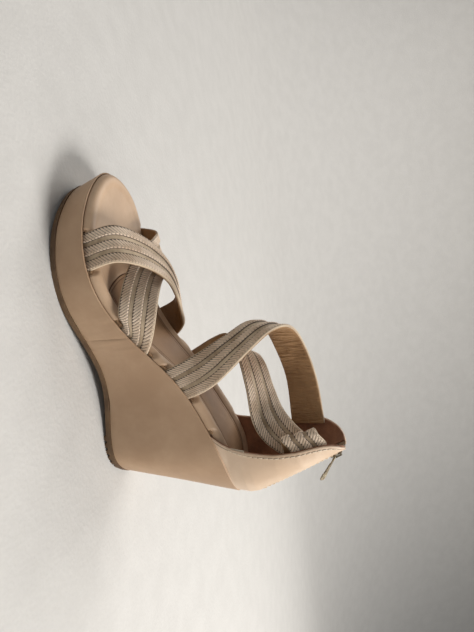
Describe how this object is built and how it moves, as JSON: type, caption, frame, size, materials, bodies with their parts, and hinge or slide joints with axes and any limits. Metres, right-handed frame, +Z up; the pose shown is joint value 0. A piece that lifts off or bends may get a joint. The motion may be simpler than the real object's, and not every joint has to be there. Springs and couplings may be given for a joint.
{
  "type": "wedge sandal",
  "caption": "Left-foot platform wedge sandal with crossed elastic straps over the toes and ankle and a closed heel counter that zips up the back.",
  "frame": {"origin": "on the ground, under the middle of the sandal's bounding box", "axes": "+X towards the toe, +Y towards the outer (left) side of the foot, +Z up"},
  "size_m": [0.2328, 0.0844, 0.1644],
  "materials": {
    "rubber": "matt",
    "wedge_core": "matt",
    "wrap_leather": "satin",
    "footbed_leather": "satin",
    "sock_leather": "satin",
    "fibreboard": "matt",
    "foam": "matt",
    "steel": "satin",
    "strap_lining": "satin",
    "webbing": "woven",
    "braid": "woven",
    "counter_leather": "satin",
    "counter_lining": "suede",
    "stiffener": "matt",
    "zip_tape": "woven",
    "zip_metal": "aged"
  },
  "bodies": {
    "sandal": {"outsole": "rubber", "wedge_core": "wedge_core", "wrap_heel": "wrap_leather", "wrap_platform": "wrap_leather", "footbed_cover": "footbed_leather", "sock_liner": "sock_leather", "insole_board": "fibreboard", "footbed_foam": "foam", "shank": "steel", "shank_rivets": "steel", "heel_nails": "steel", "heel_stiffener": "stiffener", "toe_strap_over_lining": "strap_lining", "toe_strap_over_webbing": "webbing", "toe_strap_over_braids": "braid", "toe_strap_under_lining": "strap_lining", "toe_strap_under_webbing": "webbing", "toe_strap_under_braids": "braid", "ankle_strap_over_lining": "strap_lining", "ankle_strap_over_webbing": "webbing", "ankle_strap_over_braids": "braid", "ankle_strap_under_lining": "strap_lining", "ankle_strap_under_webbing": "webbing", "ankle_strap_under_braids": "braid", "counter_outer_panel": "counter_leather", "counter_outer_lining": "counter_lining", "zip_outer_tape": "zip_tape", "zip_outer_teeth": "zip_metal", "counter_inner_panel": "counter_leather", "counter_inner_lining": "counter_lining", "zip_inner_tape": "zip_tape", "zip_inner_teeth": "zip_metal", "zip_bottom_stop": "zip_metal", "zip_top_stops": "zip_metal"},
    "slider": {"zip_slider": "zip_metal"},
    "puller": {"zip_puller": "zip_metal"}
  },
  "joints": [
    {"name": "zip_slide", "type": "slide", "parent": "sandal", "child": "slider", "axis": [-0.4283, 0, -0.9036], "range_m": [0, 0.05], "deforming": ["zip_outer_teeth", "zip_inner_teeth"]},
    {"name": "puller_swing", "type": "hinge", "parent": "slider", "child": "puller", "pos_m": [-0.09169, 0, 0.15661], "axis": [0, 1, 0], "range_deg": [-32, 115]}
  ]
}
